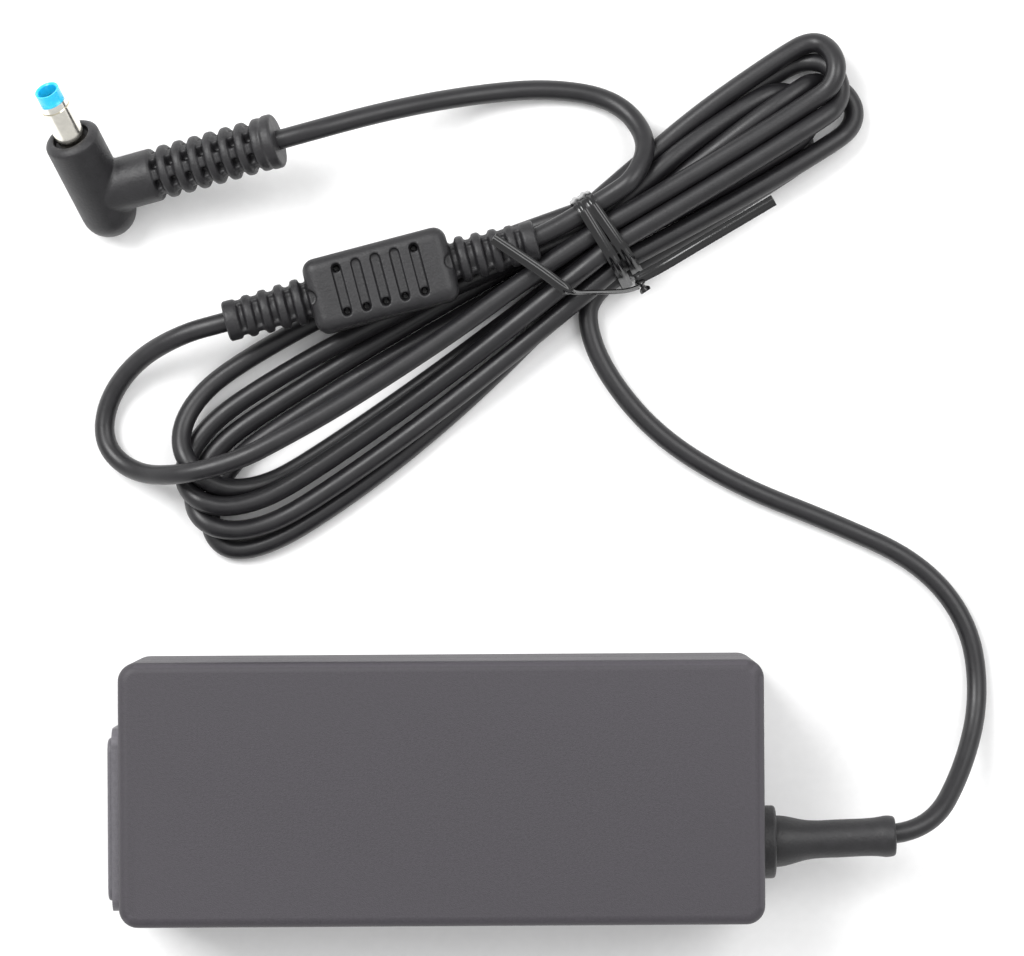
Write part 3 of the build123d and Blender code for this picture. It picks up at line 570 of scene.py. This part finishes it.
def make_ferrite():
    """The grooved block with a ringed boot at each end."""
    span = (FERRITE_RIGHT - FERRITE_LEFT).length
    top = BLOCK_HEIGHT / 2
    forms = [block_form((BLOCK_LENGTH, BLOCK_WIDTH, BLOCK_HEIGHT), (0, 0, 0), BLOCK_ROUNDING, segments=6)]
    forms.append(ring_form(-span / 2, span, BOOT_CORE))
    for side in (-1, 1):
        end = side * (span / 2 - END_RING_WIDTH / 2)
        forms.append(ring_form(end - END_RING_WIDTH / 2, END_RING_WIDTH, END_RING_RADIUS))
        for index in range(BOOT_RINGS):
            x = side * (span / 2 - BOOT_RING_START - index * BOOT_RING_PITCH)
            radius = END_RING_RADIUS + BOOT_RING_GROWTH * (index + 1)
            forms.append(ring_form(x - BOOT_RING_WIDTH / 2, BOOT_RING_WIDTH, radius))
        length = span / 2 - BLOCK_LENGTH / 2
        middle = side * (BLOCK_LENGTH / 2 + length / 2)
        for turn in BOOT_RIB_TURNS:
            size = (length, BOOT_RIB_WIDTH, BOOT_RIB_HEIGHT)
            forms.append(block_form(size, (middle, 0, BOOT_RIB_OUT), turn=turn))
    cuts = []
    for index in range(-2, 3):
        x = index * GROOVE_PITCH
        half = GROOVE_LENGTH / 2
        cuts.append(slot_form(x, -half, half, GROOVE_WIDTH, top - GROOVE_DEPTH, top + PAST))
        cuts.append(hole_form(x, -half + GROOVE_WIDTH / 2, top - HOLE_DEPTH, top, HOLE_RADIUS))
        if abs(index) == 2:
            cuts.append(hole_form(x, half - GROOVE_WIDTH / 2, top - HOLE_DEPTH, top, HOLE_RADIUS))
    for side in (-1, 1):
        cuts.append(hole_form(side * BLOCK_LENGTH / 2, 0, top - NOTCH_DEPTH, top + PAST, NOTCH_RADIUS))
    piece = fuse("ferrite_overmould_skin", forms, cuts, frame_along(FERRITE_LEFT, FERRITE_RIGHT))
    dress(piece, "overmould_pvc")
    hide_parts("ferrite_overmould")
    return piece


# ---- Right-angle plug -------------------------------------------------------------------------------

PLUG_CORNER = Vector((-0.0503, 0.0902, 0.0068))
BARREL_AZIMUTH, BARREL_ELEVATION, LEG_AZIMUTH = 114.5, 40.0, 14.2
SHORT_RADIUS, SHORT_FRONT, SHORT_BACK = 0.00425, 0.0111, 0.0039
LONG_RADIUS, LONG_SOLID, LONG_LENGTH = 0.00405, 0.0096, 0.0290
RING_PITCH, RING_WIDTH, RINGS = 0.0025, 0.0014, 7
RELIEF_CORE, RELIEF_RIB = 0.0022, 0.0034
# The rounded front edge of the short leg, as how far back and how far in, and the mouth in it
FRONT_ROUND, FRONT_EDGE = 0.0007, ((0.0002, 0.0005), (0.0, 0.0009))
MOUTH_RADIUS, MOUTH_DEPTH = 0.0028, 0.0012
FIRST_RING, LAST_RING_WIDTH, LAST_RING_OUT = 0.0011, 0.0018, 0.0001
RIB_SIZE, RIB_BACK, RIB_TURNS = 0.0016, 0.0005, (20, 90, 200, 270, 145, 325)


def towards(azimuth, elevation):
    """The direction at an azimuth and an elevation, in degrees."""
    a, e = math.radians(azimuth), math.radians(elevation)
    return Vector((math.cos(e) * math.cos(a), math.cos(e) * math.sin(a), math.sin(e)))


def plug_frame():
    """At the corner of the plug: X along the long leg and Y along the barrel."""
    barrel = towards(BARREL_AZIMUTH, BARREL_ELEVATION)
    leg = towards(LEG_AZIMUTH, 0)
    leg.z = -barrel.dot(leg) / barrel.z
    leg.normalize()
    place = Matrix((leg, barrel, leg.cross(barrel))).transposed().to_4x4()
    place.translation = PLUG_CORNER
    return place


def dome(radius, start, length):
    """Profile of a rounded end that comes before a straight stretch."""
    arc = [(start + radius * (1 - math.cos(a)), radius * math.sin(a) + 1e-6)
           for a in (math.pi / 2 * k / 10 for k in range(11))]
    return arc + [(start + length, radius)]


def make_plug():
    """Short leg with a domed back, long leg, and a strain relief of rings joined by ribs."""
    straight = SHORT_RADIUS + SHORT_BACK + SHORT_FRONT - FRONT_ROUND
    profile = dome(SHORT_RADIUS, -SHORT_BACK - SHORT_RADIUS, straight)
    profile += [(SHORT_FRONT - back, SHORT_RADIUS - inward) for back, inward in FRONT_EDGE]
    short = lathe_form(profile)
    bmesh.ops.rotate(short, matrix=Matrix.Rotation(math.pi / 2, 3, "Z"), verts=short.verts)
    forms = [short, ring_form(0, LONG_SOLID, LONG_RADIUS), ring_form(0, LONG_LENGTH, RELIEF_CORE)]
    for index in range(RINGS):
        forms.append(ring_form(LONG_SOLID + FIRST_RING + index * RING_PITCH, RING_WIDTH, LONG_RADIUS))
    forms.append(ring_form(LONG_LENGTH - LAST_RING_WIDTH, LAST_RING_WIDTH, LONG_RADIUS + LAST_RING_OUT))
    length = LONG_LENGTH - LONG_SOLID
    for turn in RIB_TURNS:
        place = (LONG_SOLID + length / 2 - RIB_BACK, 0, RELIEF_RIB - RIB_SIZE / 2)
        forms.append(block_form((length, RIB_SIZE, RIB_SIZE), place, turn=turn))
    mouth = hole_form(0, 0, SHORT_FRONT - MOUTH_DEPTH, SHORT_FRONT + PAST, MOUTH_RADIUS)
    bmesh.ops.rotate(mouth, matrix=Matrix.Rotation(-math.pi / 2, 3, "X"), verts=mouth.verts)
    piece = fuse("plug_overmould_skin", forms, [mouth], plug_frame())
    dress(piece, "overmould_pvc")
    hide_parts("plug_overmould")
    return piece


# ---- Twist tie --------------------------------------------------------------------------------------

RIBBON_WIDTH, RIBBON_THICK, WIRE_RIB, RIB_HALF = 0.0017, 0.00030, 0.00022, 0.00045
# The two bands: how far along the strands, and how much they slant. They clear the strands and the table
BANDS = (("tie_band_left", -0.00095, 0.02), ("tie_band_right", 0.00095, -0.04))
BAND_CLEARANCE, BAND_LOWEST = 0.0008, 0.0004
# The twisted knot: its place, how far back it starts, its length, its turn in half circles, its steps
KNOT_PLACE, KNOT_BACK, KNOT_LENGTH, KNOT_TURN, KNOT_STEPS = (0.0006, -0.0084, 0.0076), 0.0012, 0.0032, 2.2, 24
# The left tail stands on edge, then turns flat; the right tail lies nearly flat all the way
LEFT_TAIL = ((0.0312, 0.0750, 0.0080), (0.0290, 0.0744, 0.0088), (0.0250, 0.0742, 0.0098),
             (0.0213, 0.0742, 0.0106), (0.0197, 0.0750, 0.0112), (0.0160, 0.0777, 0.0122),
             (0.0093, 0.0822, 0.0136))
LEFT_FLAT, FLAT_FROM, FLAT_OVER = (0.58, 0.81, 0), 0.45, 0.2
RIGHT_TAIL = ((0.0310, 0.0762, 0.0080), (0.0347, 0.0781, 0.0078), (0.0407, 0.0816, 0.0082),
              (0.0462, 0.0848, 0.0084), (0.0517, 0.0880, 0.0086))
RIGHT_ACROSS = (-0.5, 0.87, 0.25)


def ribbon(name, path, across):
    """A flat ribbon with a wire down its middle, along a path with its width direction at each point."""
    mesh = bpy.data.meshes.new(name)
    shape = []
    for k in range(13):
        w = (k / 12 - 0.5) * RIBBON_WIDTH
        rib = WIRE_RIB * max(0.0, 1 - (abs(w) / RIB_HALF) ** 2)
        shape.append((w, RIBBON_THICK / 2 + rib))
    outline = shape + [(w, -h) for w, h in reversed(shape)]
    points, faces = [], []
    for i, (place, wide) in enumerate(zip(path, across)):
        before, after = path[max(i - 1, 0)], path[min(i + 1, len(path) - 1)]
        along = (after - before).normalized()
        wide = (wide - along * wide.dot(along)).normalized()
        up = along.cross(wide)
        points += [place + wide * w + up * h for w, h in outline]
    count = len(outline)
    for i in range(len(path) - 1):
        for k in range(count):
            a, b = i * count + k, i * count + (k + 1) % count
            faces.append((a, b, b + count, a + count))
    faces.append(tuple(reversed(range(count))))
    faces.append(tuple(range((len(path) - 1) * count, len(path) * count)))
    mesh.from_pydata([tuple(p) for p in points], [], faces)
    piece = bpy.data.objects.new(name, mesh)
    bpy.context.scene.collection.objects.link(piece)
    mesh.polygons.foreach_set("use_smooth", [True] * len(mesh.polygons))
    edges = piece.modifiers.new("edges", "EDGE_SPLIT")
    edges.split_angle = math.radians(50)
    apply_modifiers(piece)
    dress(piece, "tie_pvc")
    return piece


def bundle_outline(clearance):
    """The tight loop round the strands in the tie, as (across, height)."""
    rim = []
    for across, height in SLOTS.values():
        for k in range(36):
            a = 2 * math.pi * k / 36
            reach = CORD_RADIUS + clearance
            rim.append((across + reach * math.cos(a), height + reach * math.sin(a)))
    rim.sort()

    def chain(points):
        line = []
        for p in points:
            while len(line) > 1 and ((line[-1][0] - line[-2][0]) * (p[1] - line[-2][1])
                                     - (line[-1][1] - line[-2][1]) * (p[0] - line[-2][0])) <= 0:
                line.pop()
            line.append(p)
        return line[:-1]

    return chain(rim) + chain(rim[::-1])


def smooth_path(places, per=8):
    """A smooth line through a few places."""
    line = []
    for i in range(len(places) - 1):
        p0, p1 = places[max(i - 1, 0)], places[i]
        p2, p3 = places[i + 1], places[min(i + 2, len(places) - 1)]
        for k in range(per):
            t = k / per
            line.append(((2 * p1) + (p2 - p0) * t + (2 * p0 - 5 * p1 + 4 * p2 - p3) * t * t
                         + (3 * p1 - p0 - 3 * p2 + p3) * t**3) / 2)
    return line + [places[-1]]


def make_tie():
    """Two turns of ribbon round the strands, the twisted knot and two tails."""
    made = []
    strands = Vector((math.cos(HANK_ANGLE), math.sin(HANK_ANGLE), 0))
    for name, at, slant in BANDS:
        loop = bundle_outline(BAND_CLEARANCE)
        loop.append(loop[0])
        path = [Vector(hank_place(at + slant * v, v, max(z, BAND_LOWEST))) for v, z in loop]
        made.append(ribbon(name, path, [strands] * len(path)))
    knot = Vector(hank_place(*KNOT_PLACE))
    out = Vector((math.sin(HANK_ANGLE), -math.cos(HANK_ANGLE), 0))
    steps = range(KNOT_STEPS + 1)
    path = [knot - out * KNOT_BACK + out * KNOT_LENGTH * k / KNOT_STEPS for k in steps]
    turns = [Matrix.Rotation(KNOT_TURN * math.pi * k / KNOT_STEPS, 3, out) @ strands for k in steps]
    made.append(ribbon("tie_knot", path, turns))
    up = Vector((0, 0, 1))
    path = smooth_path([Vector(p) for p in LEFT_TAIL])
    flat = Vector(LEFT_FLAT)
    turned = [min(1.0, max(0.0, (k / len(path) - FLAT_FROM) / FLAT_OVER)) for k in range(len(path))]
    made.append(ribbon("tie_tail_left", path, [up.lerp(flat, share) for share in turned]))
    path = smooth_path([Vector(p) for p in RIGHT_TAIL])
    made.append(ribbon("tie_tail_right", path, [Vector(RIGHT_ACROSS)] * len(path)))
    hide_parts("twist_tie")
    return made


ferrite = make_ferrite()
plug = make_plug()
tie = make_tie()

dress(cord, "cord_pvc")
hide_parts("cord_brick_lead", "cord_hank", "cord_outer_loop", "cord_ferrite_run", "cord_plug_lead")

# ---- Floor and light --------------------------------------------------------------------------------

FLOOR_SIZE, WORLD_STRENGTH = 6, 0.75
LIT_SPOT = (0.01, 0.045, 0.0)
# Each lamp: its name, place, size and power
LAMPS = (("key", (-0.45, 0.40, 0.70), 0.45, 7), ("fill", (0.45, 0.35, 0.8), 0.6, 4))


def make_floor():
    """A wide white sheet of paper on the table, under the object."""
    bpy.ops.mesh.primitive_plane_add(size=FLOOR_SIZE, location=(0, 0, 0))
    floor = bpy.context.object
    floor.name = "floor"
    paper = moulded("floor", (0.93, 0.93, 0.93), 0.85, vary=0.01, grain=300, depth=0.00001)
    floor.data.materials.append(paper)


def area_light(name, place, size, power, target=LIT_SPOT):
    """A square lamp that points at the target."""
    data = bpy.data.lights.new(name, "AREA")
    data.size, data.energy = size, power
    lamp = bpy.data.objects.new(name, data)
    lamp.location = place
    lamp.rotation_euler = (Vector(target) - Vector(place)).to_track_quat("-Z", "Y").to_euler()
    bpy.context.scene.collection.objects.link(lamp)


def make_light():
    """Even light all round, with a large lamp on each side."""
    world = bpy.data.worlds.new("studio")
    world.use_nodes = True
    world.node_tree.nodes["Background"].inputs["Color"].default_value = (1, 1, 1, 1)
    world.node_tree.nodes["Background"].inputs["Strength"].default_value = WORLD_STRENGTH
    bpy.context.scene.world = world
    for name, place, size, power in LAMPS:
        area_light(name, place, size, power)
    bpy.context.scene.view_settings.view_transform = "Standard"


make_floor()
make_light()
